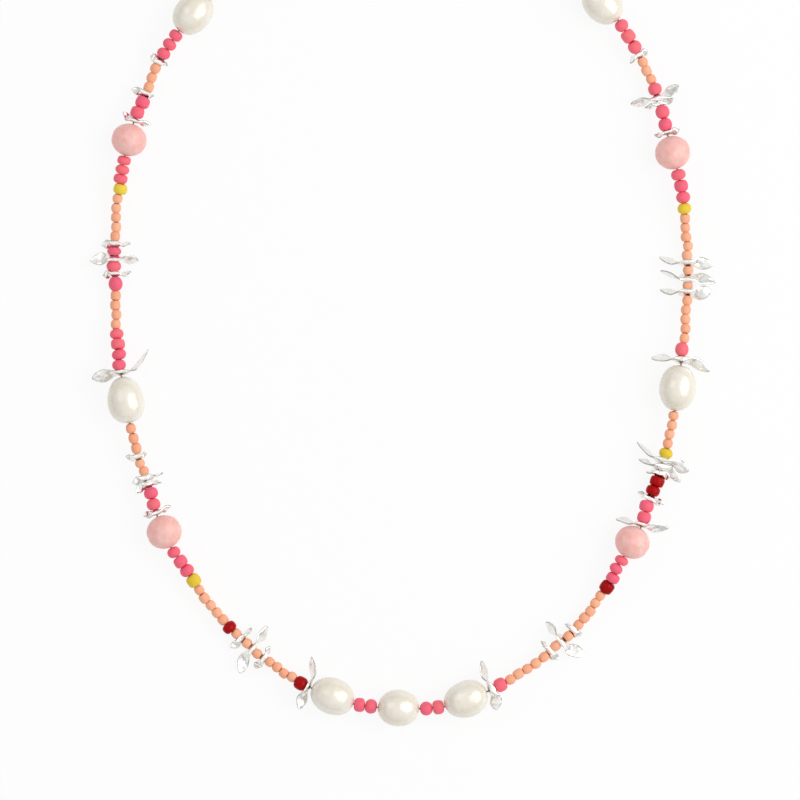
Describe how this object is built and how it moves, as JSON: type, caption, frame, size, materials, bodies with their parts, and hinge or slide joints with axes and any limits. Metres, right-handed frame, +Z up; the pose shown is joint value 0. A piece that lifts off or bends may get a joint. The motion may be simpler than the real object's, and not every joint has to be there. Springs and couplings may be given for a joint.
{
  "type": "pearl necklace",
  "caption": "Beaded necklace: oval pearls, rose quartz, small coloured seed beads and twisted silver flakes on one wire, with a lobster clasp, laid flat and undone.",
  "frame": {"origin": "centre of the laid out necklace's footprint, on the surface it lies on", "axes": "+Z up from the surface, +Y from the centre pearl towards the clasp, +X to the right in the picture"},
  "size_m": [0.1342, 0.1778, 0.0079],
  "materials": {
    "pearl": "nacre lustre",
    "quartz": "matte",
    "pink_seed_beads": "matte",
    "peach_seed_beads": "matte",
    "silver": "polished, lightly hammered",
    "wire": "satin",
    "spring_steel": "satin"
  },
  "bodies": {
    "centre": {"centre_pearl": "pearl", "centre_left_seed_beads": "pink_seed_beads", "centre_right_seed_beads": "pink_seed_beads", "left_first_pearl": "pearl", "right_first_pearl": "pearl", "beading_wire": "wire"},
    "left_lower_run": {"left_lower_flake_1": "silver", "left_lower_flake_2": "silver", "left_lower_flake_3": "silver", "left_lower_flake_4": "silver", "left_lower_seed_beads": "peach_seed_beads"},
    "left_middle_run": {"left_middle_flake_1": "silver", "left_middle_flake_2": "silver", "left_middle_flake_4": "silver", "left_middle_seed_beads": "peach_seed_beads"},
    "left_upper_run": {"left_upper_flake_1": "silver", "left_upper_flake_2": "silver", "left_upper_flake_3": "silver", "left_upper_flake_4": "silver", "left_upper_seed_beads": "peach_seed_beads"},
    "left_top_run": {"left_top_flake_1": "silver", "left_top_flake_2": "silver", "left_top_flake_3": "silver", "left_top_seed_beads": "peach_seed_beads"},
    "left_tail_run": {"left_tail_seed_beads": "peach_seed_beads", "left_crimp": "silver"},
    "left_lower_quartz_body": {"left_lower_quartz": "quartz"},
    "left_middle_pearl_body": {"left_middle_pearl": "pearl"},
    "left_upper_quartz_body": {"left_upper_quartz": "quartz"},
    "left_top_pearl_body": {"left_top_pearl": "pearl"},
    "right_lower_run": {"right_lower_flake_1": "silver", "right_lower_flake_2": "silver", "right_lower_flake_3": "silver", "right_lower_flake_4": "silver", "right_lower_seed_beads": "peach_seed_beads"},
    "right_middle_run": {"right_middle_flake_1": "silver", "right_middle_flake_2": "silver", "right_middle_flake_3": "silver", "right_middle_seed_beads": "peach_seed_beads"},
    "right_upper_run": {"right_upper_flake_1": "silver", "right_upper_flake_2": "silver", "right_upper_flake_3": "silver", "right_upper_flake_4": "silver", "right_upper_seed_beads": "peach_seed_beads"},
    "right_top_run": {"right_top_flake_1": "silver", "right_top_flake_2": "silver", "right_top_flake_4": "silver", "right_top_seed_beads": "peach_seed_beads"},
    "right_tail_run": {"right_tail_seed_beads": "peach_seed_beads", "right_crimp": "silver"},
    "right_lower_quartz_body": {"right_lower_quartz": "quartz"},
    "right_middle_pearl_body": {"right_middle_pearl": "pearl"},
    "right_upper_quartz_body": {"right_upper_quartz": "quartz"},
    "right_top_pearl_body": {"right_top_pearl": "pearl"},
    "clasp_ring": {"clasp_jump_ring": "silver"},
    "clasp": {"clasp_body": "silver", "clasp_rivet": "silver", "clasp_spring": "spring_steel"},
    "lever": {"clasp_lever": "silver"},
    "closing_ring": {"closing_jump_ring": "silver"}
  },
  "joints": [
    {"name": "left_lower_lift", "type": "hinge", "parent": "centre", "child": "left_lower_run", "pos_m": [-0.01958, -0.08081, 0.00395], "axis": [-0.4135, -0.9105, 0], "range_deg": [-10, 10], "stiffness_Nm_per_rad": 0.015, "deforming": ["beading_wire"]},
    {"name": "left_lower_quartz_sway", "type": "hinge", "parent": "left_lower_run", "child": "left_lower_quartz_body", "pos_m": [-0.0497, -0.0507, 0.00373], "axis": [0, 0, 1], "range_deg": [-10, 10], "stiffness_Nm_per_rad": 0.015, "deforming": ["beading_wire"]},
    {"name": "left_middle_lift", "type": "hinge", "parent": "left_lower_quartz_body", "child": "left_middle_run", "pos_m": [-0.05261, -0.04403, 0.00373], "axis": [-0.9386, -0.3451, 0], "range_deg": [-10, 10], "stiffness_Nm_per_rad": 0.015, "deforming": ["beading_wire"]},
    {"name": "left_middle_pearl_sway", "type": "hinge", "parent": "left_middle_run", "child": "left_middle_pearl_body", "pos_m": [-0.05853, -0.02407, 0.00395], "axis": [0, 0, 1], "range_deg": [-10, 10], "stiffness_Nm_per_rad": 0.015, "deforming": ["beading_wire"]},
    {"name": "left_upper_lift", "type": "hinge", "parent": "left_middle_pearl_body", "child": "left_upper_run", "pos_m": [-0.06029, -0.01402, 0.00395], "axis": [-0.9876, -0.1568, 0], "range_deg": [-10, 10], "stiffness_Nm_per_rad": 0.015, "deforming": ["beading_wire"]},
    {"name": "left_upper_quartz_sway", "type": "hinge", "parent": "left_upper_run", "child": "left_upper_quartz_body", "pos_m": [-0.05959, 0.03328, 0.00373], "axis": [0, 0, 1], "range_deg": [-10, 10], "stiffness_Nm_per_rad": 0.015, "deforming": ["beading_wire"]},
    {"name": "left_top_lift", "type": "hinge", "parent": "left_upper_quartz_body", "child": "left_top_run", "pos_m": [-0.05777, 0.04014, 0.00373], "axis": [-0.9513, 0.3082, 0], "range_deg": [-10, 10], "stiffness_Nm_per_rad": 0.015, "deforming": ["beading_wire"]},
    {"name": "left_top_pearl_sway", "type": "hinge", "parent": "left_top_run", "child": "left_top_pearl_body", "pos_m": [-0.04805, 0.06002, 0.00395], "axis": [0, 0, 1], "range_deg": [-10, 10], "stiffness_Nm_per_rad": 0.015, "deforming": ["beading_wire"]},
    {"name": "left_tail_lift", "type": "hinge", "parent": "left_top_pearl_body", "child": "left_tail_run", "pos_m": [-0.04185, 0.06759, 0.00395], "axis": [-0.7288, 0.6847, 0], "range_deg": [-10, 10], "stiffness_Nm_per_rad": 0.015, "deforming": ["beading_wire"]},
    {"name": "right_lower_lift", "type": "hinge", "parent": "centre", "child": "right_lower_run", "pos_m": [0.01807, -0.08161, 0.00395], "axis": [0.394, -0.9191, 0], "range_deg": [-10, 10], "stiffness_Nm_per_rad": 0.015, "deforming": ["beading_wire"]},
    {"name": "right_lower_quartz_sway", "type": "hinge", "parent": "right_lower_run", "child": "right_lower_quartz_body", "pos_m": [0.04744, -0.05255, 0.00373], "axis": [0, 0, 1], "range_deg": [-10, 10], "stiffness_Nm_per_rad": 0.015, "deforming": ["beading_wire"]},
    {"name": "right_middle_lift", "type": "hinge", "parent": "right_lower_quartz_body", "child": "right_middle_run", "pos_m": [0.05101, -0.0466, 0.00373], "axis": [0.917, -0.3988, 0], "range_deg": [-10, 10], "stiffness_Nm_per_rad": 0.015, "deforming": ["beading_wire"]},
    {"name": "right_middle_pearl_sway", "type": "hinge", "parent": "right_middle_run", "child": "right_middle_pearl_body", "pos_m": [0.05822, -0.02142, 0.00395], "axis": [0, 0, 1], "range_deg": [-10, 10], "stiffness_Nm_per_rad": 0.015, "deforming": ["beading_wire"]},
    {"name": "right_upper_lift", "type": "hinge", "parent": "right_middle_pearl_body", "child": "right_upper_run", "pos_m": [0.05964, -0.01152, 0.00395], "axis": [0.9916, -0.1295, 0], "range_deg": [-10, 10], "stiffness_Nm_per_rad": 0.015, "deforming": ["beading_wire"]},
    {"name": "right_upper_quartz_sway", "type": "hinge", "parent": "right_upper_run", "child": "right_upper_quartz_body", "pos_m": [0.05884, 0.03045, 0.00373], "axis": [0, 0, 1], "range_deg": [-10, 10], "stiffness_Nm_per_rad": 0.015, "deforming": ["beading_wire"]},
    {"name": "right_top_lift", "type": "hinge", "parent": "right_upper_quartz_body", "child": "right_top_run", "pos_m": [0.0569, 0.03749, 0.00373], "axis": [0.9673, 0.2535, 0], "range_deg": [-10, 10], "stiffness_Nm_per_rad": 0.015, "deforming": ["beading_wire"]},
    {"name": "right_top_pearl_sway", "type": "hinge", "parent": "right_top_run", "child": "right_top_pearl_body", "pos_m": [0.04616, 0.06231, 0.00395], "axis": [0, 0, 1], "range_deg": [-10, 10], "stiffness_Nm_per_rad": 0.015, "deforming": ["beading_wire"]},
    {"name": "right_tail_lift", "type": "hinge", "parent": "right_top_pearl_body", "child": "right_tail_run", "pos_m": [0.03947, 0.06945, 0.00395], "axis": [0.6785, 0.7346, 0], "range_deg": [-10, 10], "stiffness_Nm_per_rad": 0.015, "deforming": ["beading_wire"]},
    {"name": "clasp_ring_swing", "type": "hinge", "parent": "left_tail_run", "child": "clasp_ring", "pos_m": [-0.01921, 0.08163, 0.0018], "axis": [-0.4207, 0.9072, 0], "range_deg": [-90, 90]},
    {"name": "clasp_swing", "type": "hinge", "parent": "clasp_ring", "child": "clasp", "pos_m": [-0.01706, 0.08262, 0.0014], "axis": [0, 0, 1], "range_deg": [-60, 60]},
    {"name": "clasp_lever_turn", "type": "hinge", "parent": "clasp", "child": "lever", "pos_m": [-0.01324, 0.08533, 0.0014], "axis": [0, 0, 1], "range_deg": [-25, 0], "stiffness_Nm_per_rad": 0.002, "springref_deg": 5.73, "deforming": ["clasp_spring"]},
    {"name": "closing_ring_swing", "type": "hinge", "parent": "right_tail_run", "child": "closing_ring", "pos_m": [0.00802, 0.08374, 0.0018], "axis": [0.2474, 0.9689, 0], "range_deg": [-90, 90]}
  ]
}
